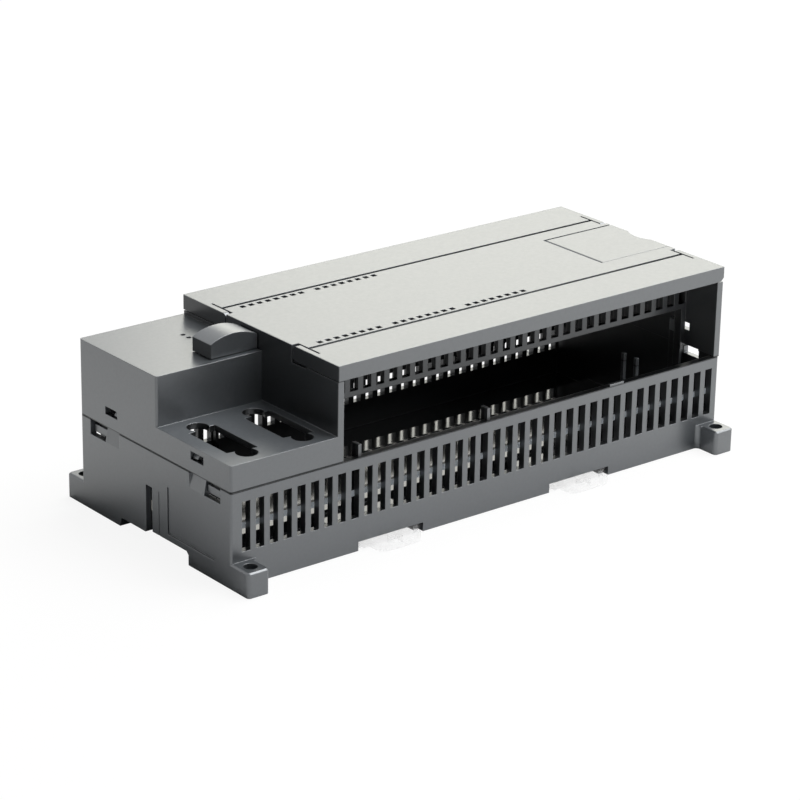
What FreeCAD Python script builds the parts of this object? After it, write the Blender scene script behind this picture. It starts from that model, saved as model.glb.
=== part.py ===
import FreeCAD, Part
import math
import os

# Slotted rail enclosure in moulded plastic: base, cover, two terminal flaps,
# access door, slot cover and two rail clips. Lengths are in millimetres.
# Modelled from the left end (X), the near wall (Y) and the underside (Z),
# then moved so that the origin is the middle of the footprint.

# Overall size
LENGTH = 197.8
WIDTH = 80.0
SPLIT_HEIGHT = 30.7
TOP_HEIGHT = 61.9
END_WALL = 2.0
SIDE_WALL = 2.5
CORNER_RADIUS = 0.8
SEAM_GAP = 0.2

# Louvre slots of both long walls
SLOT_PITCH = 5.08
SLOT_WIDTH = 3.05
SLOT_MARGIN = 4.0
SLOT_BOTTOM = 11.1
SLOT_TOP_MARGIN = 3.6
SLOT_RAIL_HEIGHT = 2.0
SLOT_RAIL_DEPTH = 1.5
NEAR_RAIL_DROP = 0.8
FAR_RAIL_RISE = 0.7

# Screw lugs at the four corners
LUG_REACH = 8.7
LUG_LENGTH = 7.8
LUG_HEIGHT = 8.1
LUG_HOLE = 4.4
LUG_ROUND = 1.2
LUG_FILLET = 1.6
LUG_CHAMFER = 0.5

# Rail channel in the underside
CHANNEL_START = 22.0
CHANNEL_WIDTH = 36.1
CHANNEL_DEPTH = 3.0
CHANNEL_STEP_DEPTH = 4.3
CHANNEL_STEP_WIDTH = 20.0
CHANNEL_FLARE = 0.8
CHANNEL_SLOPE = 12.3
CHANNEL_BORDER = 3.2
FLOOR_SKIN = 1.5
FLOOR = 2.0

# Rail clips and their pockets
CLIP_INSET = 60.3
POCKET_WIDTH = 25.4
POCKET_HEIGHT = 3.0
POCKET_LIP = 2.0
POCKET_LIP_HEIGHT = 1.0
CLIP_GAP = 0.3
CLIP_TONGUE_WIDTH = 17.0
CLIP_TONGUE_REACH = 6.2
CLIP_NOSE_REACH = 2.4
CLIP_PLATE_SETBACK = 1.2
CLIP_RECESS_LENGTH = 3.8
CLIP_RECESS_WIDTH = 3.0
CLIP_RECESS_INSET = 0.5
CLIP_ROUND = 3.0
CLIP_SLIT = 1.0
CLIP_ARM = 2.2

# Snap hooks between base and cover
LATCH_INSET = 13.8
LATCH_WIDTH = 6.7
LATCH_WINDOW_RISE = 4.3
LATCH_WINDOW_HEIGHT = 2.6
HOOK_WIDTH = 2.5
HOOK_THICKNESS = 1.3
HOOK_GAP = 0.3
HOOK_NOSE = 1.2
RIGHT_LATCH_WIDTH = 8.4
RIGHT_LATCH_LIFT = 1.6

# Pry notches under the seam of both ends
NOTCH_INSET = 5.3
NOTCH_OPEN_WIDTH = 8.4
NOTCH_RAMP_WIDTH = 7.6
NOTCH_HEIGHT = 5.1
NOTCH_RAMP_DEPTH = 1.0
TONGUE_NEAR_GAP = 0.9
TONGUE_FAR_GAP = 0.4
TONGUE_RISE = 1.0
TONGUE_NOSE_HEIGHT = 2.4
TONGUE_SETBACK = 1.2
RIGHT_NOTCH_INSET = 7.4
RIGHT_NOTCH_WIDTH = 7.1
RIGHT_NOTCH_HEIGHT = 2.6
RIGHT_NOTCH_RISE = 0.6

# Marks in the left end wall
END_SLOT_START = 41.1
END_SLOT_WIDTH = 3.4
END_SLOT_HEIGHT = 18.8
GROOVE_SIZE = 1.0
GROOVE_DEPTH = 0.6
GROOVE_TOP = 21.8
GROOVE_LEVEL = 6.3
GROOVE_START = 8.4
GROOVE_END = 33.0

# Board posts on the floor and rest on the near wall
POST_INSET = 27.6
POST_RISE = 2.3
POST_SIZE = 1.2
POST_Y = 9.6
POST_SPACING = 6.0
REST_INSET = 45.2
REST_LENGTH = 6.0
REST_RISE = 0.7
REST_DEPTH = 1.1
REST_INSET_Y = 0.2
RIB_THICKNESS = 1.2
RIB_REACH = 1.9
RIB_RISE = 3.6
RIB_SLATS = (9, 19)

# Left block of the cover: low terrace and tall block
BLOCK_LENGTH = 39.2
TERRACE_WIDTH = 38.2
TERRACE_RISE = 8.6
BLOCK_DROP = 6.3
MAIN_WALL = 2.3

# Connector cut-outs in the terrace
PORT_LENGTH = 22.2
PORT_WIDTH = 10.4
PORT_TAPER = 1.4
PORT_SCREW_SPACING = 25.0
PORT_EAR_RADIUS = 3.5
PORT_CENTRE_X = 10.4
PORT_CENTRE_Y = 19.0
PORT_STEP = 20.6

# Slot cover on the tall block
SLOT_COVER_LENGTH = 17.4
SLOT_COVER_WIDTH = 9.6
SLOT_COVER_INSET = 2.15
SLOT_COVER_SIDE = 4.6
SLOT_COVER_CROWN = 6.7
SLOT_COVER_SEAT = 0.3
SLOT_COVER_RIM = 1.6
SLOT_PLUG_DEPTH = 4.0
SLOT_PLUG_GAP = 0.3
SLOT_COVER_SHELL = 1.4

# Pilot holes beside the slot cover
PILOT_RADIUS = 0.8
PILOT_X = 27.7
PILOT_INSET = 19.1
PILOT_SPACING = 3.1

# Deck between the flaps
DECK_EDGE = 18.2
DECK_THICKNESS = 1.8
DECK_WALL = 0.9
SHELF_DROP = 4.1
SHELF_THICKNESS = 1.5

# Window walls behind the terminal rows
WINDOW_WALL_Y = 14.2
WINDOW_WALL_THICKNESS = 2.0
WINDOW_DROP = 8.0
WINDOW_HEIGHT = 8.0
WINDOW_BAND = 1.75
WINDOW_LEG_LENGTH = 1.9
WINDOW_LEG_WIDTH = 3.2
WINDOW_LEG_REACH = 6.7

# Lamp windows in the deck
LAMP_LENGTH = 1.8
LAMP_WIDTH = 1.9
LAMP_PITCH = 3.24
LAMP_GROUP = 8
LAMP_START = 7.4
LAMP_INSET = 20.1
NEAR_LAMP_GROUPS = 3
FAR_LAMP_GROUPS = 2

# Terminal flaps
FLAP_OVERHANG = 0.3
FLAP_THICKNESS = 1.6
FLAP_GAP = 1.35
FLAP_BEVEL = 0.9
SKIRT_DEPTH = 4.9
SKIRT_THICKNESS = 1.8
SKIRT_CHAMFER = 1.2
EAR_END = 22.5
EAR_GAP = 0.6
EAR_SLIT = 0.7
EAR_SLIT_LENGTH = 4.8
EAR_ROUND = 1.5
WALL_GAP = 0.8
WALL_STEP_Y = 16.0
WALL_STEP_GAP = 0.3
HINGE_Y = 20.0
HINGE_DROP = 2.5
HINGE_PIN = 1.1
HINGE_PIN_LENGTH = 1.8
PIN_CLEARANCE = 0.06
CHEEK = 2.4

# Access door
DOOR_LENGTH = 29.7
DOOR_START = 26.4
DOOR_FAR_MARGIN = 25.4
DOOR_THICKNESS = 1.6
DOOR_GAP = 0.2
DOOR_HINGE_GAP = 0.4
DOOR_FAR_GAP = 0.8
DOOR_SEAT = 0.3
DOOR_LEDGE = 1.6
DOOR_PIN = 0.5
DOOR_PIN_LENGTH = 1.0
SCOOP_WIDTH = 11.5
SCOOP_DEPTH = 1.8

# Values that follow from the sizes above
MIDDLE = WIDTH / 2.0
OVER = 1.0
BASE_TOP = SPLIT_HEIGHT - SEAM_GAP / 2.0
COVER_BOTTOM = SPLIT_HEIGHT + SEAM_GAP / 2.0
SLOT_HEIGHT = SPLIT_HEIGHT - SLOT_TOP_MARGIN - SLOT_BOTTOM
SLOT_COUNT = 1 + int((LENGTH - SLOT_MARGIN - SIDE_WALL - SLOT_WIDTH) / SLOT_PITCH)
LATCH_WINDOW_BOTTOM = SPLIT_HEIGHT + LATCH_WINDOW_RISE
POST_HEIGHT = SPLIT_HEIGHT + POST_RISE
TERRACE_HEIGHT = SPLIT_HEIGHT + TERRACE_RISE
BLOCK_HEIGHT = TOP_HEIGHT - BLOCK_DROP
SLOT_COVER_START = TERRACE_WIDTH + SLOT_COVER_INSET
PILOT_Y = WIDTH - PILOT_INSET
WINDOW_TOP = TOP_HEIGHT - WINDOW_DROP
WINDOW_BOTTOM = WINDOW_TOP - WINDOW_HEIGHT
WINDOW_BAND_BOTTOM = WINDOW_BOTTOM - WINDOW_BAND
WINDOW_LEG_BOTTOM = SPLIT_HEIGHT - WINDOW_LEG_REACH
LAMP_GROUP_STEP = (LAMP_GROUP + 1) * LAMP_PITCH
DOOR_WIDTH = WIDTH - DOOR_START - DOOR_FAR_MARGIN
HINGE_Z = TOP_HEIGHT - HINGE_DROP
SKIRT_BOTTOM = TOP_HEIGHT - SKIRT_DEPTH
FLAP_WALL_TOP = SKIRT_BOTTOM - WALL_GAP
FLAP_EDGE = DECK_EDGE - FLAP_GAP
EAR_NOTCH = EAR_END + EAR_GAP
CHEEK_START = BLOCK_LENGTH + SKIRT_THICKNESS + EAR_SLIT
CHEEK_END = LENGTH - SKIRT_THICKNESS - EAR_SLIT
SHELF_TOP = TOP_HEIGHT - SHELF_DROP
DOOR_X = LENGTH - DOOR_LENGTH
DOOR_AXIS_X = DOOR_X + DOOR_THICKNESS / 2.0
DOOR_AXIS_Z = TOP_HEIGHT - DOOR_THICKNESS / 2.0
CLIP_CENTRES = (CLIP_INSET, LENGTH - CLIP_INSET)


# Helpers

def box(x0, x1, y0, y1, z0, z1):
    return Part.makeBox(x1 - x0, y1 - y0, z1 - z0, FreeCAD.Vector(x0, y0, z0))


def rod(radius, start, direction, length):
    return Part.makeCylinder(radius, length, FreeCAD.Vector(*start), FreeCAD.Vector(*direction))


def prism_x(points, x0, x1):
    # Profile of (y, z) points pulled along X
    corners = [FreeCAD.Vector(x0, y, z) for y, z in points]
    face = Part.Face(Part.makePolygon(corners + corners[:1]))
    return face.extrude(FreeCAD.Vector(x1 - x0, 0, 0))


def prism_y(points, y0, y1):
    # Profile of (x, z) points pulled along Y
    corners = [FreeCAD.Vector(x, y0, z) for x, z in points]
    face = Part.Face(Part.makePolygon(corners + corners[:1]))
    return face.extrude(FreeCAD.Vector(0, y1 - y0, 0))


def upright_edges(shape):
    found = []
    for edge in shape.Edges:
        box_of_edge = edge.BoundBox
        if box_of_edge.XLength < 1e-6 and box_of_edge.YLength < 1e-6:
            found.append(edge)
    return found


def rounded_box(x0, x1, y0, y1, z0, z1, radius):
    block = box(x0, x1, y0, y1, z0, z1)
    return block.makeFillet(radius, upright_edges(block))


def mirrored(shape):
    # The same detail at the far wall
    return shape.mirror(FreeCAD.Vector(0, MIDDLE, 0), FreeCAD.Vector(0, 1, 0))


def flipped(shape):
    # The same detail at the right end
    return shape.mirror(FreeCAD.Vector(LENGTH / 2.0, 0, 0), FreeCAD.Vector(1, 0, 0))


def both_sides(shapes):
    return shapes + [mirrored(shape) for shape in shapes]


def both_ends(shapes):
    return shapes + [flipped(shape) for shape in shapes]


# Base

def base_section():
    # Inner outline of the tray, stepped over the rail channel
    channel_end = CHANNEL_START + CHANNEL_WIDTH
    step = CHANNEL_START + CHANNEL_STEP_WIDTH
    high = CHANNEL_STEP_DEPTH + FLOOR_SKIN
    low = CHANNEL_DEPTH + FLOOR_SKIN
    return [
        (SIDE_WALL, FLOOR),
        (CHANNEL_START - FLOOR_SKIN, FLOOR),
        (CHANNEL_START - FLOOR_SKIN, high),
        (step + FLOOR_SKIN, high),
        (step + CHANNEL_SLOPE, low),
        (channel_end + CHANNEL_BORDER, low),
        (channel_end + CHANNEL_BORDER + CHANNEL_FLARE, FLOOR),
        (WIDTH - SIDE_WALL, FLOOR),
        (WIDTH - SIDE_WALL, BASE_TOP + OVER),
        (SIDE_WALL, BASE_TOP + OVER),
    ]


def rail_channel():
    end = CHANNEL_START + CHANNEL_WIDTH
    step = CHANNEL_START + CHANNEL_STEP_WIDTH
    relief = CHANNEL_DEPTH / 3.0
    outline = [
        (CHANNEL_START, -OVER),
        (CHANNEL_START, CHANNEL_STEP_DEPTH - relief),
        (CHANNEL_START + relief, CHANNEL_STEP_DEPTH),
        (step, CHANNEL_STEP_DEPTH),
        (step + 3.0 * relief, CHANNEL_DEPTH),
        (end, CHANNEL_DEPTH),
        (end + CHANNEL_FLARE, 0.0),
        (end + CHANNEL_FLARE, -OVER),
    ]
    return prism_x(outline, -OVER, LENGTH + OVER)


def lug():
    # Near-left corner lug with a rounded foot and a fillet to the wall
    block = rounded_box(0, LUG_LENGTH, -LUG_REACH, END_WALL, 0, LUG_HEIGHT, LUG_ROUND)
    rim = [edge for edge in block.Edges if edge.BoundBox.ZMin > LUG_HEIGHT - 0.001]
    block = block.makeChamfer(LUG_CHAMFER, rim)
    filler = box(0, LUG_ROUND, -LUG_ROUND, END_WALL, 0, LUG_HEIGHT - LUG_CHAMFER)
    cove_end = LUG_LENGTH + LUG_FILLET
    cove = box(LUG_LENGTH - LUG_FILLET, cove_end, -LUG_FILLET, END_WALL, 0, LUG_HEIGHT)
    hollow = rod(LUG_FILLET, (cove_end, -LUG_FILLET, -OVER), (0, 0, 1), LUG_HEIGHT + 2.0 * OVER)
    hole_at = (LUG_LENGTH / 2.0, -LUG_REACH / 2.0, -OVER)
    hole = rod(LUG_HOLE / 2.0, hole_at, (0, 0, 1), LUG_HEIGHT + 2.0 * OVER)
    return block.fuse([filler, cove.cut(hollow)]).cut(hole)


def louvre_slots():
    slots = []
    for index in range(SLOT_COUNT):
        x = SLOT_MARGIN + index * SLOT_PITCH
        slots.append(box(x, x + SLOT_WIDTH, -OVER, SIDE_WALL, SLOT_BOTTOM, SLOT_BOTTOM + SLOT_HEIGHT))
    return slots


def slot_rail(shift):
    # Rail along the inside of the near wall, shifted from the middle of the slots
    z = SLOT_BOTTOM + (SLOT_HEIGHT - SLOT_RAIL_HEIGHT) / 2.0 + shift
    y1 = SIDE_WALL + SLOT_RAIL_DEPTH
    return box(END_WALL, LENGTH - END_WALL, SIDE_WALL, y1, z, z + SLOT_RAIL_HEIGHT)


def clip_roof(centre):
    half = POCKET_WIDTH / 2.0 + FLOOR_SKIN
    return box(centre - half, centre + half, SIDE_WALL / 2.0, CHANNEL_START, 0, POCKET_HEIGHT + FLOOR_SKIN)


def clip_pocket(centre):
    half = POCKET_WIDTH / 2.0
    inner = half - POCKET_LIP
    wide = box(centre - half, centre + half, -OVER, CHANNEL_START + OVER, POCKET_LIP_HEIGHT, POCKET_HEIGHT)
    narrow = box(centre - inner, centre + inner, -OVER, CHANNEL_START + OVER, -OVER, POCKET_HEIGHT)
    mouth = box(centre - half, centre + half, -OVER, SIDE_WALL, -OVER, POCKET_HEIGHT)
    return wide.fuse([narrow, mouth])


def pry_notch():
    # Through part and sloped part under the seam, near-left end
    bottom = SPLIT_HEIGHT - NOTCH_HEIGHT
    middle = NOTCH_INSET + NOTCH_OPEN_WIDTH
    through = box(-OVER, END_WALL + OVER, NOTCH_INSET, middle, bottom, SPLIT_HEIGHT)
    slope = [
        (-OVER, bottom),
        (0, bottom),
        (NOTCH_RAMP_DEPTH, SPLIT_HEIGHT),
        (-OVER, SPLIT_HEIGHT),
    ]
    return through.fuse(prism_y(slope, middle, middle + NOTCH_RAMP_WIDTH))


def right_notch(z0, z1):
    # Narrower opening at the seam of the right end
    y1 = RIGHT_NOTCH_INSET + RIGHT_NOTCH_WIDTH
    return box(LENGTH - MAIN_WALL - OVER, LENGTH + OVER, RIGHT_NOTCH_INSET, y1, z0, z1)


def left_end_marks():
    slot_end = END_SLOT_START + END_SLOT_WIDTH
    slot = box(-OVER, END_WALL + OVER, END_SLOT_START, slot_end, -OVER, END_SLOT_HEIGHT)
    upright = box(-OVER, GROOVE_DEPTH, GROOVE_END - GROOVE_SIZE, GROOVE_END, GROOVE_LEVEL, GROOVE_TOP)
    level = box(-OVER, GROOVE_DEPTH, GROOVE_START, GROOVE_END, GROOVE_LEVEL, GROOVE_LEVEL + GROOVE_SIZE)
    line_y = END_SLOT_START - END_SLOT_WIDTH
    line = box(-OVER, GROOVE_DEPTH, line_y - 0.4 * GROOVE_SIZE, line_y, CHANNEL_DEPTH, END_SLOT_HEIGHT)
    return [slot, upright.fuse(level), line]


def snap_hook(lift):
    # Tongue that rises behind the cover wall, nose in the latch window
    inner = END_WALL + HOOK_GAP
    y1 = LATCH_INSET + LATCH_WIDTH - HOOK_GAP
    y0 = y1 - HOOK_WIDTH
    top = LATCH_WINDOW_BOTTOM + LATCH_WINDOW_HEIGHT - HOOK_GAP + lift
    root = SPLIT_HEIGHT - NOTCH_HEIGHT - 2.0 * END_WALL
    nose_z = LATCH_WINDOW_BOTTOM + HOOK_GAP + lift
    outline = [
        (END_WALL / 2.0, root),
        (inner + HOOK_THICKNESS, root),
        (inner + HOOK_THICKNESS, top + HOOK_GAP),
        (inner, top + HOOK_GAP),
        (END_WALL - HOOK_NOSE, nose_z + HOOK_GAP),
        (END_WALL - HOOK_NOSE, nose_z),
        (inner, nose_z),
        (inner, root + END_WALL),
        (END_WALL / 2.0, root + END_WALL),
    ]
    return prism_y(outline, y0, y1)


def board_post(y):
    x = LENGTH - POST_INSET
    return box(x - POST_SIZE / 2.0, x + POST_SIZE / 2.0, y, y + POST_SIZE, FLOOR / 2.0, POST_HEIGHT)


def board_rib(slat):
    # Upright rib on the inside of the near wall, behind a slat
    x = SLOT_MARGIN + slat * SLOT_PITCH - (SLOT_PITCH - SLOT_WIDTH) / 2.0
    half = RIB_THICKNESS / 2.0
    y1 = SIDE_WALL + RIB_REACH
    return box(x - half, x + half, SIDE_WALL / 2.0, y1, FLOOR / 2.0, SPLIT_HEIGHT + RIB_RISE)


def wall_rest():
    x = LENGTH - REST_INSET
    top = BASE_TOP + REST_RISE
    half = REST_LENGTH / 2.0
    return box(x - half, x + half, REST_INSET_Y, REST_INSET_Y + REST_DEPTH, BASE_TOP - OVER, top)


def base_housing():
    shell = rounded_box(0, LENGTH, 0, WIDTH, 0, BASE_TOP, CORNER_RADIUS)
    shell = shell.cut(prism_x(base_section(), END_WALL, LENGTH - END_WALL))
    roofs = [clip_roof(centre) for centre in CLIP_CENTRES]
    posts = [board_post(POST_Y), board_post(POST_Y + POST_SPACING)]
    ribs = [board_rib(slat) for slat in RIB_SLATS]
    lugs = both_sides(both_ends([lug()]))
    rails = [slot_rail(-NEAR_RAIL_DROP), mirrored(slot_rail(FAR_RAIL_RISE))]
    shell = shell.fuse(lugs + roofs + rails + posts + both_sides(ribs) + [wall_rest()])
    pockets = [clip_pocket(centre) for centre in CLIP_CENTRES]
    notches = both_sides([pry_notch(), right_notch(SPLIT_HEIGHT - RIGHT_NOTCH_HEIGHT, SPLIT_HEIGHT)])
    cuts = both_sides(louvre_slots()) + notches + pockets + left_end_marks()
    shell = shell.cut(cuts + [rail_channel()])
    hooks = both_sides([snap_hook(0.0), flipped(snap_hook(RIGHT_LATCH_LIFT))])
    return shell.fuse(hooks).removeSplitter()


# Cover

def left_block():
    # Terrace and tall block with walls all round, open underneath
    radius = CORNER_RADIUS
    joint = BLOCK_LENGTH + MAIN_WALL / 2.0
    low = rounded_box(0, joint + radius, 0, WIDTH, COVER_BOTTOM, TERRACE_HEIGHT, radius)
    tall = rounded_box(0, joint + radius, TERRACE_WIDTH, WIDTH, COVER_BOTTOM, BLOCK_HEIGHT, radius)
    solid = low.fuse(tall)
    solid = solid.common(box(-OVER, joint, -OVER, WIDTH + OVER, 0, TOP_HEIGHT))
    far = WIDTH - END_WALL
    inner_low = box(END_WALL, joint + OVER, END_WALL, far, 0, TERRACE_HEIGHT - END_WALL)
    near = TERRACE_WIDTH + END_WALL
    inner_tall = box(END_WALL, joint + OVER, near, far, 0, BLOCK_HEIGHT - END_WALL)
    return solid.cut([inner_low, inner_tall])


def port_cutout(x, y):
    # Tapered connector opening with an ear round each screw
    half = PORT_LENGTH / 2.0
    side = PORT_WIDTH / 2.0
    z0 = TERRACE_HEIGHT - END_WALL - OVER
    corners = [
        FreeCAD.Vector(x - side, y - half + PORT_TAPER, z0),
        FreeCAD.Vector(x + side, y - half, z0),
        FreeCAD.Vector(x + side, y + half, z0),
        FreeCAD.Vector(x - side, y + half - PORT_TAPER, z0),
    ]
    depth = END_WALL + 2.0 * OVER
    body = Part.Face(Part.makePolygon(corners + corners[:1])).extrude(FreeCAD.Vector(0, 0, depth))
    ears = []
    for sign in (-1.0, 1.0):
        ears.append(rod(PORT_EAR_RADIUS, (x, y + sign * PORT_SCREW_SPACING / 2.0, z0), (0, 0, 1), depth))
    return body.fuse(ears)


def slot_cover_hole():
    x1 = BLOCK_LENGTH - SLOT_PLUG_GAP - SLOT_COVER_RIM
    x0 = BLOCK_LENGTH - SLOT_PLUG_GAP - SLOT_COVER_LENGTH + SLOT_COVER_RIM
    y0 = SLOT_COVER_START + SLOT_COVER_RIM
    y1 = SLOT_COVER_START + SLOT_COVER_WIDTH - SLOT_COVER_RIM
    return box(x0, x1, y0, y1, BLOCK_HEIGHT - END_WALL - OVER, BLOCK_HEIGHT + OVER)


def pilot_holes():
    holes = []
    for index in range(2):
        start = (PILOT_X, PILOT_Y + index * PILOT_SPACING, BLOCK_HEIGHT - END_WALL - OVER)
        holes.append(rod(PILOT_RADIUS, start, (0, 0, 1), END_WALL + 2.0 * OVER))
    return holes


def end_wall(x0, x1):
    # Cross wall, cut down under both flaps and lowest under the ears
    y0 = EAR_NOTCH
    y1 = WIDTH - EAR_NOTCH
    high = SKIRT_BOTTOM - WALL_STEP_GAP
    outline = [
        (0, COVER_BOTTOM),
        (WIDTH, COVER_BOTTOM),
        (WIDTH, high),
        (WIDTH - WALL_STEP_Y, high),
        (WIDTH - WALL_STEP_Y, FLAP_WALL_TOP),
        (y1, FLAP_WALL_TOP),
        (y1, TOP_HEIGHT),
        (y0, TOP_HEIGHT),
        (y0, FLAP_WALL_TOP),
        (WALL_STEP_Y, FLAP_WALL_TOP),
        (WALL_STEP_Y, high),
        (0, high),
    ]
    return prism_x(outline, x0, x1)


def deck():
    # Centre panel with notched corners for the flap ears
    z0 = TOP_HEIGHT - DECK_THICKNESS
    wide = box(BLOCK_LENGTH, LENGTH, EAR_NOTCH, WIDTH - EAR_NOTCH, z0, TOP_HEIGHT)
    long = box(CHEEK_START, CHEEK_END, DECK_EDGE, WIDTH - DECK_EDGE, z0, TOP_HEIGHT)
    return wide.fuse(long)


def deck_side():
    # Side of the deck, shelf and window wall in one bent profile
    wall = WINDOW_WALL_Y + WINDOW_WALL_THICKNESS
    side = DECK_EDGE + DECK_WALL
    under = SHELF_TOP - SHELF_THICKNESS
    outline = [
        (DECK_EDGE, TOP_HEIGHT - DECK_THICKNESS / 2.0),
        (DECK_EDGE, SHELF_TOP),
        (WINDOW_WALL_Y, SHELF_TOP),
        (WINDOW_WALL_Y, WINDOW_BAND_BOTTOM),
        (wall, WINDOW_BAND_BOTTOM),
        (wall, under),
        (side, under),
        (side, TOP_HEIGHT - DECK_THICKNESS / 2.0),
    ]
    upper = prism_x(outline, CHEEK_START, CHEEK_END)
    x0 = BLOCK_LENGTH + MAIN_WALL / 2.0
    x1 = LENGTH - MAIN_WALL / 2.0
    lower = box(x0, x1, WINDOW_WALL_Y, wall, WINDOW_BAND_BOTTOM, FLAP_WALL_TOP)
    return upper.fuse(lower)


def hinge_cheek():
    # Block at the deck corner that takes the pin of a flap ear
    y1 = HINGE_Y + HINGE_PIN + CHEEK
    block = box(CHEEK_START, CHEEK_START + CHEEK, DECK_EDGE, y1, SHELF_TOP - SHELF_THICKNESS, TOP_HEIGHT)
    return block


def hinge_hole():
    radius = HINGE_PIN + PIN_CLEARANCE
    return rod(radius, (CHEEK_START - OVER, HINGE_Y, HINGE_Z), (1, 0, 0), CHEEK + 2.0 * OVER)


def wall_windows():
    # Windows in line with the louvre slots of the base
    windows = []
    for index in range(SLOT_COUNT):
        x = SLOT_MARGIN + index * SLOT_PITCH
        inside = x > BLOCK_LENGTH + MAIN_WALL + OVER and x + SLOT_WIDTH < LENGTH - MAIN_WALL
        if inside:
            y1 = WINDOW_WALL_Y + WINDOW_WALL_THICKNESS + OVER
            windows.append(box(x, x + SLOT_WIDTH, WINDOW_WALL_Y - OVER, y1, WINDOW_BOTTOM, WINDOW_TOP))
    return windows


def window_leg():
    x1 = LENGTH - MAIN_WALL / 2.0
    x0 = LENGTH - MAIN_WALL - WINDOW_LEG_LENGTH
    y1 = WINDOW_WALL_Y + WINDOW_LEG_WIDTH
    upper = box(x0, x1, WINDOW_WALL_Y, y1, COVER_BOTTOM, FLAP_WALL_TOP)
    lower = box(x0, LENGTH - MAIN_WALL, WINDOW_WALL_Y, y1, WINDOW_LEG_BOTTOM, COVER_BOTTOM + OVER)
    return upper.fuse(lower)


def lamp_windows(groups, y):
    z0 = TOP_HEIGHT - DECK_THICKNESS - SEAM_GAP
    y0 = y - LAMP_WIDTH / 2.0
    windows = []
    for group in range(groups):
        for index in range(LAMP_GROUP):
            x = BLOCK_LENGTH + LAMP_START + group * LAMP_GROUP_STEP + index * LAMP_PITCH
            windows.append(box(x, x + LAMP_LENGTH, y0, y0 + LAMP_WIDTH, z0, TOP_HEIGHT + OVER))
    return windows


def door_opening():
    # Rebate for the door and the open well under it
    y0 = DOOR_START - DOOR_GAP
    y1 = DOOR_START + DOOR_WIDTH + DOOR_FAR_GAP
    z0 = TOP_HEIGHT - DOOR_THICKNESS - DOOR_SEAT
    rebate = box(DOOR_X - DOOR_HINGE_GAP, LENGTH + OVER, y0, y1, z0, TOP_HEIGHT + OVER)
    well_x1 = LENGTH - MAIN_WALL - DOOR_LEDGE
    well_z0 = z0 - 2.0 * DECK_THICKNESS
    well = box(DOOR_X + DOOR_LEDGE, well_x1, y0 + DOOR_LEDGE, y1 - DOOR_LEDGE, well_z0, TOP_HEIGHT)
    return rebate.fuse(well)


def door_frame():
    # Ribs under the rebate that carry the door
    x0 = DOOR_X - DOOR_HINGE_GAP - DOOR_LEDGE
    y0 = DOOR_START - DOOR_GAP - DOOR_LEDGE
    y1 = DOOR_START + DOOR_WIDTH + DOOR_FAR_GAP + DOOR_LEDGE
    z0 = TOP_HEIGHT - DOOR_THICKNESS - DOOR_SEAT - DECK_THICKNESS
    return box(x0, LENGTH - MAIN_WALL / 2.0, y0, y1, z0, TOP_HEIGHT - DECK_THICKNESS / 2.0)


def door_pin_holes():
    radius = DOOR_PIN + PIN_CLEARANCE
    y0 = DOOR_START - DOOR_GAP - DOOR_PIN_LENGTH
    length = DOOR_WIDTH + DOOR_GAP + DOOR_FAR_GAP + 2.0 * DOOR_PIN_LENGTH
    return rod(radius, (DOOR_AXIS_X, y0, DOOR_AXIS_Z), (0, 1, 0), length)


def latch_window(x0, x1, width, lift):
    y1 = LATCH_INSET + LATCH_WIDTH
    z0 = LATCH_WINDOW_BOTTOM + lift
    return box(x0, x1, y1 - width, y1, z0, z0 + LATCH_WINDOW_HEIGHT)


def notch_tongue():
    # Locating tongue behind the base wall, its nose in the pry notch
    y0 = NOTCH_INSET + TONGUE_NEAR_GAP
    y1 = NOTCH_INSET + NOTCH_OPEN_WIDTH - TONGUE_FAR_GAP
    bottom = SPLIT_HEIGHT - NOTCH_HEIGHT + TONGUE_RISE
    inner = END_WALL + HOOK_GAP
    outline = [
        (END_WALL / 2.0, COVER_BOTTOM + END_WALL),
        (END_WALL / 2.0, COVER_BOTTOM),
        (inner, COVER_BOTTOM),
        (inner, bottom + TONGUE_NOSE_HEIGHT),
        (TONGUE_SETBACK, bottom + TONGUE_NOSE_HEIGHT),
        (TONGUE_SETBACK, bottom),
        (inner + HOOK_THICKNESS, bottom),
        (inner + HOOK_THICKNESS, COVER_BOTTOM + END_WALL),
    ]
    return prism_y(outline, y0, y1)


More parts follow.
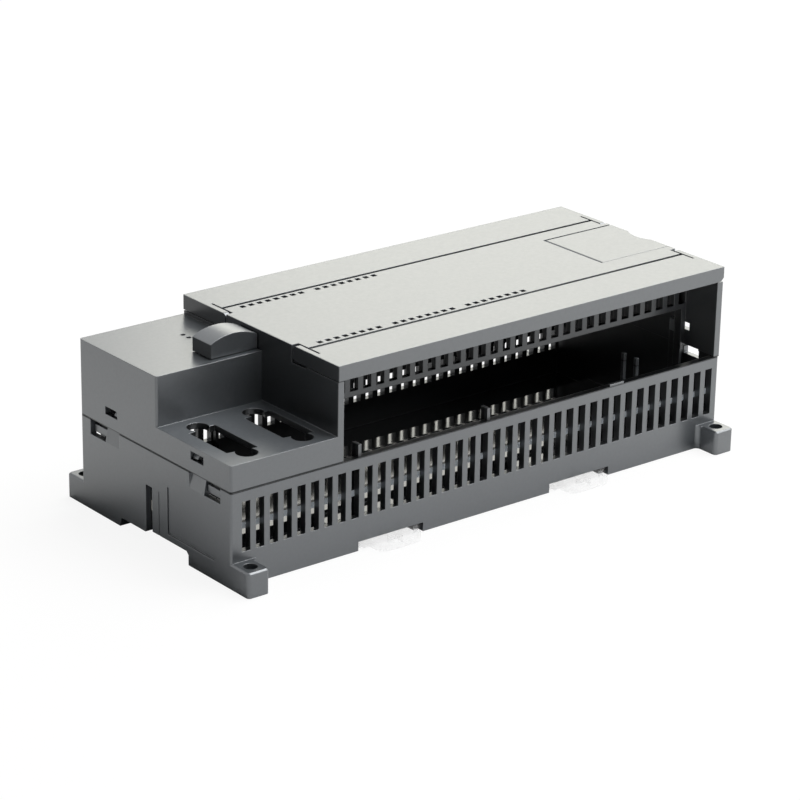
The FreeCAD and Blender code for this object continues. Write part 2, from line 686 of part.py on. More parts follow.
def cover_housing():
    walls = [
        end_wall(BLOCK_LENGTH, BLOCK_LENGTH + MAIN_WALL),
        end_wall(LENGTH - MAIN_WALL, LENGTH),
    ]
    sides = both_sides([deck_side(), hinge_cheek(), flipped_cheek(), window_leg()])
    shell = left_block().fuse(walls + [deck(), door_frame()] + sides)
    shell = shell.fuse(both_sides([notch_tongue()]))
    y0 = WINDOW_WALL_Y + WINDOW_WALL_THICKNESS
    x0 = BLOCK_LENGTH - OVER
    x1 = BLOCK_LENGTH + MAIN_WALL + OVER
    passages = [
        box(x0, x1, y0, WIDTH - y0, 0, TERRACE_HEIGHT - END_WALL),
        box(x0, x1, TERRACE_WIDTH + END_WALL, WIDTH - y0, 0, BLOCK_HEIGHT - END_WALL),
    ]
    ports = [
        port_cutout(PORT_CENTRE_X, PORT_CENTRE_Y),
        port_cutout(PORT_CENTRE_X + PORT_STEP, PORT_CENTRE_Y),
    ]
    holes = both_sides(wall_windows()) + both_sides([hinge_hole(), flipped_hole()])
    lamps = lamp_windows(NEAR_LAMP_GROUPS, LAMP_INSET) + lamp_windows(FAR_LAMP_GROUPS, WIDTH - LAMP_INSET)
    latches = both_sides([
        latch_window(-OVER, END_WALL + OVER, LATCH_WIDTH, 0.0),
        latch_window(LENGTH - MAIN_WALL, LENGTH + OVER, RIGHT_LATCH_WIDTH, RIGHT_LATCH_LIFT),
        right_notch(0.0, COVER_BOTTOM + RIGHT_NOTCH_RISE),
    ])
    door = [door_opening(), door_pin_holes()]
    cuts = passages + ports + holes + lamps + latches + door + [slot_cover_hole()] + pilot_holes()
    return shell.cut(cuts).removeSplitter()


def right_of_deck(shape):
    # The same hinge detail at the right end of the deck
    return shape.mirror(FreeCAD.Vector((BLOCK_LENGTH + LENGTH) / 2.0, 0, 0), FreeCAD.Vector(1, 0, 0))


def flipped_cheek():
    return right_of_deck(hinge_cheek())


def flipped_hole():
    return right_of_deck(hinge_hole())


# Flaps

def flap_ear():
    # Side skirt with a rounded end that carries the hinge pin
    x1 = BLOCK_LENGTH + SKIRT_THICKNESS
    plate = box(BLOCK_LENGTH, x1, -FLAP_OVERHANG, EAR_END, SKIRT_BOTTOM, TOP_HEIGHT)
    corners = []
    for edge in plate.Edges:
        bounds = edge.BoundBox
        along_x = bounds.YLength < 1e-6 and bounds.ZLength < 1e-6
        if along_x and bounds.YMin > HINGE_Y:
            corners.append(edge)
    plate = plate.makeFillet(EAR_ROUND, corners)
    pin_at = (BLOCK_LENGTH + SKIRT_THICKNESS / 2.0, HINGE_Y, HINGE_Z)
    pin = rod(HINGE_PIN, pin_at, (1, 0, 0), SKIRT_THICKNESS / 2.0 + EAR_SLIT + HINGE_PIN_LENGTH)
    return plate.fuse(pin)


def terminal_flap():
    # Panel with front skirt, bevelled under its hinged edge
    z0 = TOP_HEIGHT - FLAP_THICKNESS
    outline = [
        (-FLAP_OVERHANG, SKIRT_BOTTOM),
        (-FLAP_OVERHANG + SKIRT_THICKNESS, SKIRT_BOTTOM),
        (-FLAP_OVERHANG + SKIRT_THICKNESS, z0),
        (FLAP_EDGE - FLAP_BEVEL, z0),
        (FLAP_EDGE, z0 + FLAP_BEVEL),
        (FLAP_EDGE, TOP_HEIGHT),
        (-FLAP_OVERHANG, TOP_HEIGHT),
    ]
    panel = prism_x(outline, BLOCK_LENGTH, LENGTH)
    slit_y = FLAP_EDGE - EAR_SLIT_LENGTH
    z1 = TOP_HEIGHT + OVER
    gap = box(BLOCK_LENGTH - OVER, CHEEK_START, slit_y, FLAP_EDGE + OVER, SKIRT_BOTTOM - OVER, z1)
    panel = panel.cut([gap, right_of_deck(gap)])
    ear = flap_ear()
    panel = panel.fuse([ear, right_of_deck(ear)])
    corner = [
        (LENGTH - SKIRT_CHAMFER, SKIRT_BOTTOM),
        (LENGTH + OVER, SKIRT_BOTTOM + SKIRT_CHAMFER + OVER),
        (LENGTH + OVER, SKIRT_BOTTOM - OVER),
        (LENGTH - SKIRT_CHAMFER, SKIRT_BOTTOM - OVER),
    ]
    return panel.cut(prism_y(corner, -OVER, HINGE_Y + EAR_END)).removeSplitter()


# Door and slot cover

def port_door():
    # Plate rolled round its pins, with a finger scoop in the free edge
    z0 = TOP_HEIGHT - DOOR_THICKNESS
    y1 = DOOR_START + DOOR_WIDTH
    plate = box(DOOR_AXIS_X, LENGTH, DOOR_START, y1, z0, TOP_HEIGHT)
    roll = rod(DOOR_THICKNESS / 2.0, (DOOR_AXIS_X, DOOR_START, DOOR_AXIS_Z), (0, 1, 0), DOOR_WIDTH)
    reach = 2.0 * DOOR_PIN_LENGTH
    near_pin = rod(DOOR_PIN, (DOOR_AXIS_X, DOOR_START - DOOR_PIN_LENGTH, DOOR_AXIS_Z), (0, 1, 0), reach)
    far_reach = reach + DOOR_FAR_GAP - DOOR_GAP
    far_pin = rod(DOOR_PIN, (DOOR_AXIS_X, y1 - DOOR_PIN_LENGTH, DOOR_AXIS_Z), (0, 1, 0), far_reach)
    radius = (SCOOP_WIDTH ** 2 / 4.0 + SCOOP_DEPTH ** 2) / (2.0 * SCOOP_DEPTH)
    scoop_at = (LENGTH - SCOOP_DEPTH + radius, DOOR_START + DOOR_WIDTH / 2.0, z0 - OVER)
    scoop = rod(radius, scoop_at, (0, 0, 1), DOOR_THICKNESS + 2.0 * OVER)
    return plate.fuse([roll, near_pin, far_pin]).cut(scoop).removeSplitter()


def arched_block(x0, x1, y0, y1, z0, side, crown):
    # Block with an arched top over its length
    a = FreeCAD.Vector(x0, y0, z0)
    b = FreeCAD.Vector(x1, y0, z0)
    c = FreeCAD.Vector(x1, y0, z0 + side)
    d = FreeCAD.Vector(x0, y0, z0 + side)
    top = FreeCAD.Vector((x0 + x1) / 2.0, y0, z0 + crown)
    edges = [
        Part.makeLine(a, b),
        Part.makeLine(b, c),
        Part.Arc(c, top, d).toShape(),
        Part.makeLine(d, a),
    ]
    return Part.Face(Part.Wire(edges)).extrude(FreeCAD.Vector(0, y1 - y0, 0))


def cartridge_cover():
    x1 = BLOCK_LENGTH - SLOT_PLUG_GAP
    x0 = x1 - SLOT_COVER_LENGTH
    y0 = SLOT_COVER_START
    y1 = y0 + SLOT_COVER_WIDTH
    z0 = BLOCK_HEIGHT + SLOT_COVER_SEAT
    shell = SLOT_COVER_SHELL
    cap = arched_block(x0, x1, y0, y1, z0, SLOT_COVER_SIDE, SLOT_COVER_CROWN)
    inset = SLOT_COVER_RIM + SLOT_PLUG_GAP
    plug = box(x0 + inset, x1 - inset, y0 + inset, y1 - inset, z0 - SLOT_PLUG_DEPTH, z0 + OVER)
    wall = inset + shell
    hollow_z0 = z0 - SLOT_PLUG_DEPTH - OVER
    hollow_z1 = z0 + SLOT_COVER_SIDE - shell
    hollow = box(x0 + wall, x1 - wall, y0 + wall, y1 - wall, hollow_z0, hollow_z1)
    return cap.fuse(plug).cut(hollow).removeSplitter()


# Rail clips

def rail_clip(centre):
    # Flanged plate with a pull tongue in front and a rail nose behind
    half = POCKET_WIDTH / 2.0 - CLIP_GAP
    core = POCKET_WIDTH / 2.0 - POCKET_LIP - CLIP_GAP
    tongue = CLIP_TONGUE_WIDTH / 2.0
    z0 = CLIP_GAP
    z1 = POCKET_LIP_HEIGHT + CLIP_GAP
    z2 = POCKET_HEIGHT - CLIP_GAP
    back = CHANNEL_START - CLIP_GAP
    flange = box(centre - half, centre + half, CLIP_PLATE_SETBACK, back, z1, z2)
    front = box(centre - half, centre + half, CLIP_PLATE_SETBACK, SIDE_WALL - CLIP_GAP, z0, z2)
    body = box(centre - core, centre + core, 0, back, z0, z2)
    front_y = -CLIP_TONGUE_REACH
    pull = rounded_box(centre - tongue, centre + tongue, front_y, CLIP_ROUND, z0, z2, CLIP_ROUND)
    nose_outline = [
        (back - OVER, z0),
        (back + CLIP_NOSE_REACH, z0),
        (back + CLIP_NOSE_REACH, z0 + z1 / 3.0),
        (back, z2 - CLIP_GAP),
        (back - OVER, z2 - CLIP_GAP),
    ]
    nose = prism_x(nose_outline, centre - tongue, centre + tongue)
    recess_x = CLIP_RECESS_LENGTH / 2.0
    recess_y = -CLIP_RECESS_INSET - CLIP_RECESS_WIDTH
    recess = box(centre - recess_x, centre + recess_x, recess_y, -CLIP_RECESS_INSET, -OVER, z2 + OVER)
    slits = []
    for sign in (-1.0, 1.0):
        x = centre + sign * (core - CLIP_ARM) - CLIP_SLIT / 2.0
        slit = box(x, x + CLIP_SLIT, 2.0 * SIDE_WALL, back - SIDE_WALL, -OVER, z2 + OVER)
        slits.append(slit)
    return flange.fuse([front, body, pull, nose]).cut(slits + [recess]).removeSplitter()


# Parts by name

def build():
    near_flap = terminal_flap()
    return {
        "base_housing": base_housing(),
        "cover_housing": cover_housing(),
        "front_terminal_flap": near_flap,
        "rear_terminal_flap": mirrored(near_flap),
        "port_door": port_door(),
        "cartridge_cover": cartridge_cover(),
        "din_clip_left": rail_clip(CLIP_CENTRES[0]),
        "din_clip_right": rail_clip(CLIP_CENTRES[1]),
    }


os.makedirs("parts", exist_ok=True)
for name, shape in build().items():
    shape.translate(FreeCAD.Vector(-LENGTH / 2.0, -MIDDLE, 0))
    shape.exportStep("parts/" + name + ".step")
    print(name, len(shape.Solids), shape.isValid(), round(shape.Volume, 1), shape.BoundBox)
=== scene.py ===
import math

import bpy
from mathutils import Matrix, Vector


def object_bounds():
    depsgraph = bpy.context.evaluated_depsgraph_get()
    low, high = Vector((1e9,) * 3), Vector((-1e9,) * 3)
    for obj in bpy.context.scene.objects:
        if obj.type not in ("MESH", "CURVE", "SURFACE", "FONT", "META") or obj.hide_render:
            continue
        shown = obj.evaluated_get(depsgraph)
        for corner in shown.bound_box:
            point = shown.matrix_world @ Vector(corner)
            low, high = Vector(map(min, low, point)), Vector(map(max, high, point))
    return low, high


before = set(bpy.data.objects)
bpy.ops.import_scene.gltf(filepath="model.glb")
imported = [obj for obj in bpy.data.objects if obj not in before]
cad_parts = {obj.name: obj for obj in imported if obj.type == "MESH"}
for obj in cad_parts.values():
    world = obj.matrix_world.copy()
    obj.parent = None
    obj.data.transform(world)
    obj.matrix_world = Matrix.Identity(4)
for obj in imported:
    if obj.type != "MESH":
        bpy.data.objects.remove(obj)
cad_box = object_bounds()

FACE_REACH = 0.0002


def around(middle, reach=FACE_REACH):
    # Span to both sides of a value, just wide enough for a face unless told otherwise
    return middle - reach, middle + reach


def region(x, y, z):
    # Low and high corner from the spans along the three axes
    return tuple(zip(x, y, z))


# Camera of the photograph, in metres and degrees, with lens and sensor in millimetres
VIEW_AZIMUTH = -38.92
VIEW_ELEVATION = 21.08
VIEW_ROLL = 1.02
VIEW_CENTRE = Vector((-0.0009, 0.0, 0.030))
VIEW_OFFSET = (-0.00227, -0.00429)
VIEW_DISTANCE = 0.97374
VIEW_NEAREST = 0.01
VIEW_LENS = 136.67
SENSOR_WIDTH = 36.0

# Light panels: own brightness, where 1 is white, and place, target and size in metres
TOP_LIGHT_LEVEL = 5.2
TOP_LIGHT_PLACE = (0.72, -0.30, 1.4)
TOP_LIGHT_TARGET = (0.30, -0.10, 0.0)
TOP_LIGHT_SIZE = (1.6, 1.6)
TOP_LIGHT_TINT = (1.0, 1.0, 1.0)
BACK_LIGHT_LEVEL = 2.2
BACK_LIGHT_PLACE = (1.235, 0.635, 0.71)
BACK_LIGHT_TARGET = (0.0, 0.0, 0.04)
BACK_LIGHT_SIZE = (1.8, 0.8)
BACK_LIGHT_TINT = (1.0, 0.98, 0.86)

# World and floor, with the share of plain white that the camera sees in the floor
WHITE = (1.0, 1.0, 1.0, 1.0)
WORLD_LEVEL = 0.01
WORLD_TINT = (0.97, 0.985, 1.0, 1.0)
PAPER = (0.96, 0.96, 0.96, 1.0)
FLOOR_WHITE = 0.9
FLOOR_HALF = 3.0
FLOOR_GAP = 0.0002

# Grey plastic of the housing
GREY_DARK = (0.046, 0.051, 0.056, 1.0)
GREY_LIGHT = (0.056, 0.061, 0.066, 1.0)
# Lighter edge colour, partly wear and partly a painted highlight
GREY_WORN_AND_LIT_EDGE = (0.170, 0.180, 0.188, 1.0)
GREY_SHEEN = (0.94, 0.97, 1.0, 1.0)
GREY_ROUGH = (0.28, 0.33)
GREY_IOR = 2.1
GREY_GRAIN = 0.18

# White plastic of the rail clips, which lets light through
CLIP_DARK = (0.94, 0.945, 0.95, 1.0)
CLIP_LIGHT = (0.97, 0.975, 0.98, 1.0)
CLIP_ROUGH = (0.35, 0.45)
CLIP_IOR = 1.4
CLIP_GRAIN = 0.2
CLIP_MILK = 0.5
CLIP_MILK_SPREAD = (1.0, 1.0, 1.0)
CLIP_MILK_DEPTH = 0.001
CLIP_ALPHA = 0.12

# Texture of both plastics: noise scales per metre, lengths in metres
CLOUD_SCALE = 900.0
CLOUD_DETAIL = 3.0
SMEAR_SCALE = 700.0
SMEAR_DETAIL = 4.0
SMEAR_ROUGHNESS = 0.6
GRAIN_SCALE = 2600.0
GRAIN_DETAIL = 2.0
GRAIN_DEPTH = 0.00002
NOISE_SPAN = (0.3, 0.7)
EDGE_RADIUS = 0.0003
EDGE_SAMPLES = 6

# Edge wear and painted highlight along the edges: cosine of the softened edge's turn, and
# patches in which it fades
WEAR_AND_HIGHLIGHT_TURN = (0.80, 0.99)
WEAR_AND_HIGHLIGHT_SCALE = 220.0
WEAR_AND_HIGHLIGHT_DETAIL = 3.0
WEAR_AND_HIGHLIGHT_LEAST = 0.35

# Parts of the base where the look changes: spans along X, Y and Z, in metres
TRAY_X = around(0.0, 0.0970)
TRAY_Z = (0.0011, 0.0350)
TRAY_FLOOR = region(around(0.0, 0.0969), around(0.0, 0.0375), (0.0010, 0.0100))
NEAR_SLOTS = region(TRAY_X, (-0.0398, -0.03755), TRAY_Z)
TRAY_INSIDE = region(TRAY_X, (-0.03745, 0.0398), TRAY_Z)
WALL_RAIL = region(TRAY_X, around(-0.0375, 0.00005), (0.0172, 0.0194))
BOARD_POSTS = region((0.0703, 0.0723), (-0.0310, -0.0225), (0.0060, 0.0340))

# Both sides of the seam between base and cover
SEAM_HEIGHT = 0.0307
SEAM_BAND = 0.0004
SEAM_X = around(0.0, 0.0990)
SEAM_Y = around(0.0, 0.0401)
TRAY_SEAM = region(SEAM_X, SEAM_Y, (SEAM_HEIGHT - SEAM_BAND, SEAM_HEIGHT))
COVER_SEAM = region(SEAM_X, SEAM_Y, (SEAM_HEIGHT, SEAM_HEIGHT + SEAM_BAND))

# Insides of the cover: under the deck with and without the end face, that face, the block
DECK_INSIDE = region((-0.0573, 0.0965), around(0.0, 0.0256), (0.0240, 0.0600))
DECK_INSIDE_AND_END = region((-0.0573, 0.0967), around(0.0, 0.0256), (0.0240, 0.0600))
END_INSIDE = region((0.0960, 0.0967), around(0.0, 0.0398), (0.0240, 0.0565))
BLOCK_INSIDE = region((-0.0969, -0.0575), around(0.0, 0.0380), (0.0240, 0.0391))

# Outer faces of the cover: the step above the connector block, the left end of the slot
# cover, the wall with the windows, and the terrace
STEP_FACE = region(around(-0.0597), around(0.0, 0.0404), (0.0395, 0.0617))
LID_FACE = region(around(-0.0774), (0.0003, 0.0101), (0.0556, 0.0603))
WINDOW_FACE = region((-0.0573, 0.0967), (-0.0261, -0.0256), (0.0300, 0.0569))
TERRACE_TOP = region((-0.0986, -0.0598), (-0.0398, -0.0019), around(0.0393))

# Shares of the roughness that are taken away
TRAY_POLISH = 0.68
TRAY_POLISHES = ((TRAY_FLOOR, TRAY_POLISH),)

# Factors on the colour: below 1 a painted shade, above 1 a painted light
# Painted shade: insides of base and cover and the jambs of the near slots made darker
INSIDE_PAINTED_SHADE = 0.2
# Painted shade on the nook faces: the step above the block, the slot cover's left end and the
# window wall
NOOK_PAINTED_SHADE = 0.4
# Painted light on the face of the inner rail that shows through the near slots
RAIL_PAINTED_LIGHT = 9.0
# Painted light on the board posts
POST_PAINTED_LIGHT = 7.0
# Painted shade on both sides of the seam between base and cover
SEAM_PAINTED_SHADE = 0.2
# Painted light on the terrace top
TERRACE_PAINTED_LIGHT = 1.5
TRAY_PAINTED_LIGHT_AND_SHADE = (
    (NEAR_SLOTS, INSIDE_PAINTED_SHADE),
    (TRAY_INSIDE, INSIDE_PAINTED_SHADE),
    (BOARD_POSTS, POST_PAINTED_LIGHT),
    (WALL_RAIL, RAIL_PAINTED_LIGHT),
    (TRAY_SEAM, SEAM_PAINTED_SHADE),
)
COVER_PAINTED_LIGHT_AND_SHADE = (
    (DECK_INSIDE, INSIDE_PAINTED_SHADE),
    (END_INSIDE, INSIDE_PAINTED_SHADE),
    (BLOCK_INSIDE, INSIDE_PAINTED_SHADE),
    (STEP_FACE, NOOK_PAINTED_SHADE),
    (LID_FACE, NOOK_PAINTED_SHADE),
    (WINDOW_FACE, NOOK_PAINTED_SHADE),
    (TERRACE_TOP, TERRACE_PAINTED_LIGHT),
    (COVER_SEAM, SEAM_PAINTED_SHADE),
)
FLAP_PAINTED_SHADE = ((STEP_FACE, NOOK_PAINTED_SHADE),)

# Drops of the refractive index, for a weaker mirror
DULL = 0.6
WINDOW_DULL = 0.45
TRAY_DROPS = (
    (TRAY_INSIDE, DULL),
    (TRAY_SEAM, DULL),
)
COVER_DROPS = (
    (DECK_INSIDE_AND_END, DULL),
    (WINDOW_FACE, WINDOW_DULL),
    (STEP_FACE, DULL),
    (LID_FACE, DULL),
    (COVER_SEAM, DULL),
)
FLAP_DROPS = ((STEP_FACE, DULL),)


# Node helpers

def compute(tree, operation, *values):
    # Math node fed by sockets or plain numbers
    node = tree.nodes.new("ShaderNodeMath")
    node.operation = operation
    for socket, value in zip(node.inputs, values):
        if isinstance(value, float):
            socket.default_value = value
        else:
            tree.links.new(value, socket)
    return node.outputs[0]


def rays(tree, kinds):
    # 1 for rays of the named kinds
    path = tree.nodes.new("ShaderNodeLightPath")
    result = path.outputs[kinds[0]]
    for kind in kinds[1:]:
        result = compute(tree, "MAXIMUM", result, path.outputs[kind])
    return result


def own_coordinates(tree):
    # Place in the piece's own frame, in metres
    return tree.nodes.new("ShaderNodeTexCoord").outputs["Object"]


def noise(tree, coordinates, scale, detail, roughness=0.5):
    node = tree.nodes.new("ShaderNodeTexNoise")
    node.inputs["Scale"].default_value = scale
    node.inputs["Detail"].default_value = detail
    node.inputs["Roughness"].default_value = roughness
    tree.links.new(coordinates, node.inputs["Vector"])
    return node.outputs["Fac"]


def remap(tree, value, source, target):
    # Carries one span of values over to another, held at its ends
    node = tree.nodes.new("ShaderNodeMapRange")
    node.inputs["From Min"].default_value = source[0]
    node.inputs["From Max"].default_value = source[1]
    node.inputs["To Min"].default_value = target[0]
    node.inputs["To Max"].default_value = target[1]
    tree.links.new(value, node.inputs["Value"])
    return node.outputs["Result"]


def within(tree, corners):
    # 1 between the two corners, 0 elsewhere
    low, high = corners
    parts = tree.nodes.new("ShaderNodeSeparateXYZ")
    tree.links.new(own_coordinates(tree), parts.inputs[0])
    result = 1.0
    for axis in range(3):
        value = parts.outputs[axis]
        above = compute(tree, "GREATER_THAN", value, low[axis])
        below = compute(tree, "LESS_THAN", value, high[axis])
        result = compute(tree, "MULTIPLY", result, compute(tree, "MULTIPLY", above, below))
    return result


def blend(tree, share, first, second):
    # Mix of two colours, given as sockets or plain values
    node = tree.nodes.new("ShaderNodeMix")
    node.data_type = "RGBA"
    tree.links.new(share, node.inputs["Factor"])
    for name, colour in (("A", first), ("B", second)):
        if isinstance(colour, tuple):
            node.inputs[name].default_value = colour
        else:
            tree.links.new(colour, node.inputs[name])
    return node.outputs["Result"]


# Camera, lights and floor

def photo_camera():
    azimuth = math.radians(VIEW_AZIMUTH)
    elevation = math.radians(VIEW_ELEVATION)
    roll = math.radians(VIEW_ROLL)
    level = math.cos(elevation)
    back = Vector((math.sin(azimuth) * level, -math.cos(azimuth) * level, math.sin(elevation)))
    side = Vector((math.cos(azimuth), math.sin(azimuth), 0.0))
    rise = back.cross(side)
    right = side * math.cos(roll) + rise * math.sin(roll)
    up = rise * math.cos(roll) - side * math.sin(roll)
    place = VIEW_CENTRE + right * VIEW_OFFSET[0] + up * VIEW_OFFSET[1] + back * VIEW_DISTANCE
    lens = bpy.data.cameras.new("photo_camera")
    lens.lens = VIEW_LENS
    lens.sensor_width = SENSOR_WIDTH
    lens.clip_start = VIEW_NEAREST
    camera = bpy.data.objects.new("photo_camera", lens)
    bpy.context.collection.objects.link(camera)
    turn = Matrix((right, up, back)).transposed().to_4x4()
    camera.matrix_world = Matrix.Translation(place) @ turn
    bpy.context.scene.camera = camera


def light_panel(name, place, target, size, level, tint):
    data = bpy.data.lights.new(name, "AREA")
    data.color = tint
    data.shape = "RECTANGLE"
    data.size, data.size_y = size
    data.energy = level * math.pi * data.size * data.size_y
    light = bpy.data.objects.new(name, data)
    bpy.context.collection.objects.link(light)
    light.location = place
    light.rotation_mode = "QUATERNION"
    light.rotation_quaternion = (Vector(target) - Vector(place)).to_track_quat("-Z", "Y")
    light.visible_camera = False


def studio_lights():
    light_panel("top_panel", TOP_LIGHT_PLACE, TOP_LIGHT_TARGET, TOP_LIGHT_SIZE,
                TOP_LIGHT_LEVEL, TOP_LIGHT_TINT)
    light_panel("back_panel", BACK_LIGHT_PLACE, BACK_LIGHT_TARGET, BACK_LIGHT_SIZE,
                BACK_LIGHT_LEVEL, BACK_LIGHT_TINT)


def studio_world():
    # White to the camera, in mirrors and through clear plastic, nearly dark as a light
    world = bpy.data.worlds.new("studio")
    bpy.context.scene.world = world
    world.use_nodes = True
    tree = world.node_tree
    tree.nodes.clear()
    output = tree.nodes.new("ShaderNodeOutputWorld")
    seen = tree.nodes.new("ShaderNodeBackground")
    seen.inputs["Color"].default_value = WHITE
    seen.inputs["Strength"].default_value = 1.0
    lit = tree.nodes.new("ShaderNodeBackground")
    lit.inputs["Color"].default_value = WORLD_TINT
    lit.inputs["Strength"].default_value = WORLD_LEVEL
    mix = tree.nodes.new("ShaderNodeMixShader")
    seen_by = rays(tree, ["Is Camera Ray", "Is Glossy Ray", "Is Transmission Ray"])
    tree.links.new(seen_by, mix.inputs["Fac"])
    tree.links.new(lit.outputs[0], mix.inputs[1])
    tree.links.new(seen.outputs[0], mix.inputs[2])
    tree.links.new(mix.outputs[0], output.inputs["Surface"])


def floor_material():
    # White paper, lifted towards pure white for the camera, which keeps the shadow
    material = bpy.data.materials.new("floor_white")
    material.use_nodes = True
    tree = material.node_tree
    tree.nodes.clear()
    output = tree.nodes.new("ShaderNodeOutputMaterial")
    paper = tree.nodes.new("ShaderNodeBsdfDiffuse")
    paper.inputs["Color"].default_value = PAPER
    glow = tree.nodes.new("ShaderNodeEmission")
    glow.inputs["Color"].default_value = WHITE
    glow.inputs["Strength"].default_value = 1.0
    mix = tree.nodes.new("ShaderNodeMixShader")
    seen_by = rays(tree, ["Is Camera Ray", "Is Transmission Ray"])
    tree.links.new(compute(tree, "MULTIPLY", seen_by, FLOOR_WHITE), mix.inputs["Fac"])
    tree.links.new(paper.outputs[0], mix.inputs[1])
    tree.links.new(glow.outputs[0], mix.inputs[2])
    tree.links.new(mix.outputs[0], output.inputs["Surface"])
    return material


def studio_floor():
    near, far = around(0.0, FLOOR_HALF)
    corners = [(near, near, 0.0), (far, near, 0.0), (far, far, 0.0), (near, far, 0.0)]
    mesh = bpy.data.meshes.new("floor")
    mesh.from_pydata(corners, [], [(0, 1, 2, 3)])
    floor = bpy.data.objects.new("floor", mesh)
    bpy.context.collection.objects.link(floor)
    floor.location.z = cad_box[0].z - FLOOR_GAP
    mesh.materials.append(floor_material())


# Plastics

def moulded_plastic(name, colours, rough, ior, grain):
    # Cloudy tone, satin gloss that varies, fine tool grain and softened edges
    material = bpy.data.materials.new(name)
    material.use_nodes = True
    tree = material.node_tree
    tree.nodes.clear()
    output = tree.nodes.new("ShaderNodeOutputMaterial")
    shader = tree.nodes.new("ShaderNodeBsdfPrincipled")
    shader.inputs["IOR"].default_value = ior
    place = own_coordinates(tree)
    cloud = remap(tree, noise(tree, place, CLOUD_SCALE, CLOUD_DETAIL), NOISE_SPAN, (0.0, 1.0))
    tree.links.new(blend(tree, cloud, *colours), shader.inputs["Base Color"])
    smear = noise(tree, place, SMEAR_SCALE, SMEAR_DETAIL, SMEAR_ROUGHNESS)
    tree.links.new(remap(tree, smear, NOISE_SPAN, rough), shader.inputs["Roughness"])
    soft = tree.nodes.new("ShaderNodeBevel")
    soft.samples = EDGE_SAMPLES
    soft.inputs["Radius"].default_value = EDGE_RADIUS
    bump = tree.nodes.new("ShaderNodeBump")
    bump.inputs["Strength"].default_value = grain
    bump.inputs["Distance"].default_value = GRAIN_DEPTH
    tree.links.new(noise(tree, place, GRAIN_SCALE, GRAIN_DETAIL), bump.inputs["Height"])
    tree.links.new(soft.outputs[0], bump.inputs["Normal"])
    tree.links.new(bump.outputs[0], shader.inputs["Normal"])
    tree.links.new(shader.outputs[0], output.inputs["Surface"])
    return material, shader


def wear_and_edge_highlight(shader, worn_and_lit):
    # Lighter colour where the softened edge turns away from the flat face, partly edge wear
    # and partly a painted highlight
    tree = shader.id_data
    colour = shader.inputs["Base Color"].links[0].from_socket
    soft = next(node for node in tree.nodes if node.type == "BEVEL")
    turn = tree.nodes.new("ShaderNodeVectorMath")
    turn.operation = "DOT_PRODUCT"
    tree.links.new(soft.outputs[0], turn.inputs[0])
    tree.links.new(tree.nodes.new("ShaderNodeNewGeometry").outputs["Normal"], turn.inputs[1])
    edge = remap(tree, turn.outputs["Value"], WEAR_AND_HIGHLIGHT_TURN, (1.0, 0.0))
    patches = noise(tree, own_coordinates(tree), WEAR_AND_HIGHLIGHT_SCALE, WEAR_AND_HIGHLIGHT_DETAIL)
    patchy = remap(tree, patches, NOISE_SPAN, (WEAR_AND_HIGHLIGHT_LEAST, 1.0))
    share = compute(tree, "MULTIPLY", edge, patchy)
    tree.links.new(blend(tree, share, colour, worn_and_lit), shader.inputs["Base Color"])


def polish(shader, where, share):
    # Takes a share of the roughness away
    tree = shader.id_data
    rough = shader.inputs["Roughness"].links[0].from_socket
    left = compute(tree, "MULTIPLY_ADD", within(tree, where), -share, 1.0)
    tree.links.new(compute(tree, "MULTIPLY", rough, left), shader.inputs["Roughness"])


def dull(shader, where, drop):
    # Weaker mirror: the refractive index less the drop, where it isn't lower already
    tree = shader.id_data
    index = shader.inputs["IOR"]
    full = index.default_value
    before = index.links[0].from_socket if index.links else full
    lowered = compute(tree, "MULTIPLY_ADD", within(tree, where), -drop, full)
    tree.links.new(compute(tree, "MINIMUM", before, lowered), index)


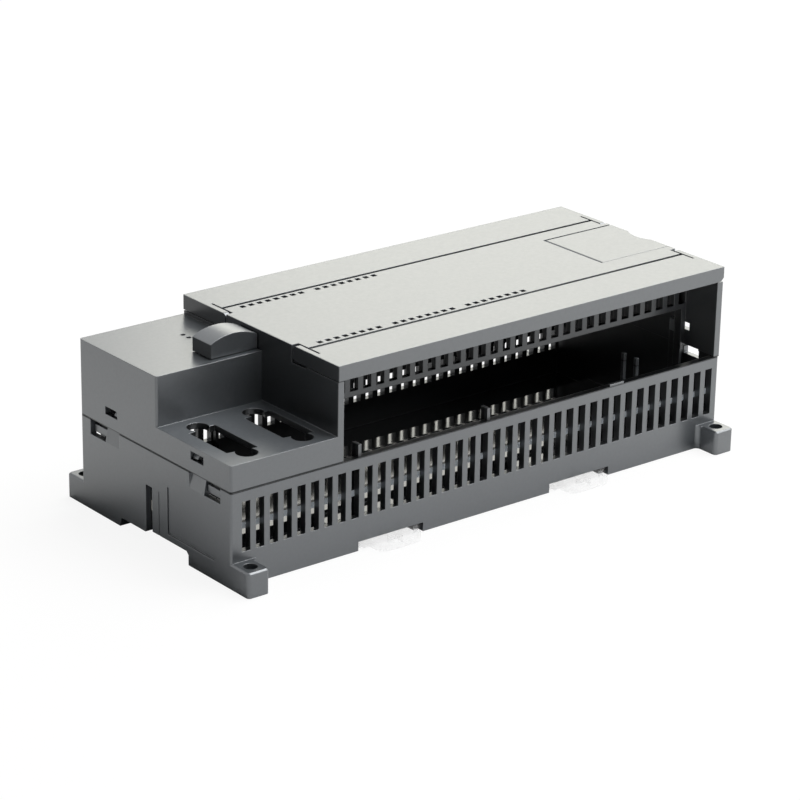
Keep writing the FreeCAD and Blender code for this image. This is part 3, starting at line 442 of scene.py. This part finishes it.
def paint_light_and_shade(shader, where, factor):
    # Multiplies the colour in the box: paints shade with a factor below 1 and light with a
    # factor above 1
    tree = shader.id_data
    colour = shader.inputs["Base Color"].links[0].from_socket
    scale = tree.nodes.new("ShaderNodeVectorMath")
    scale.operation = "SCALE"
    tree.links.new(colour, scale.inputs[0])
    share = compute(tree, "MULTIPLY_ADD", within(tree, where), factor - 1.0, 1.0)
    tree.links.new(share, scale.inputs["Scale"])
    tree.links.new(scale.outputs[0], shader.inputs["Base Color"])


def housing_plastic(name, drops, painted_tones, polishes=()):
    colours = (GREY_DARK, GREY_LIGHT)
    material, shader = moulded_plastic(name, colours, GREY_ROUGH, GREY_IOR, GREY_GRAIN)
    shader.inputs["Specular Tint"].default_value = GREY_SHEEN
    # Edges painted lighter: wear and painted highlight
    wear_and_edge_highlight(shader, GREY_WORN_AND_LIT_EDGE)
    for where, drop in drops:
        dull(shader, where, drop)
    # Painted light and shade, by place on the piece
    for where, factor in painted_tones:
        paint_light_and_shade(shader, where, factor)
    for where, share in polishes:
        polish(shader, where, share)
    return material


def clip_plastic():
    colours = (CLIP_DARK, CLIP_LIGHT)
    material, shader = moulded_plastic("clip_white", colours, CLIP_ROUGH, CLIP_IOR, CLIP_GRAIN)
    shader.inputs["Subsurface Weight"].default_value = CLIP_MILK
    shader.inputs["Subsurface Radius"].default_value = CLIP_MILK_SPREAD
    shader.inputs["Subsurface Scale"].default_value = CLIP_MILK_DEPTH
    shader.inputs["Alpha"].default_value = CLIP_ALPHA
    return material


def dress(names, material):
    for name in names:
        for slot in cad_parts[name].material_slots:
            slot.material = material


def dress_pieces():
    tray = housing_plastic("base_grey", TRAY_DROPS, TRAY_PAINTED_LIGHT_AND_SHADE, TRAY_POLISHES)
    dress(["base_housing"], tray)
    cover = housing_plastic("cover_grey", COVER_DROPS, COVER_PAINTED_LIGHT_AND_SHADE)
    dress(["cover_housing", "cartridge_cover"], cover)
    flap = housing_plastic("flap_grey", FLAP_DROPS, FLAP_PAINTED_SHADE)
    dress(["front_terminal_flap", "rear_terminal_flap", "port_door"], flap)
    dress(["din_clip_left", "din_clip_right"], clip_plastic())


photo_camera()
studio_lights()
studio_world()
studio_floor()
dress_pieces()

scene = bpy.context.scene
scene.view_settings.view_transform = "Standard"
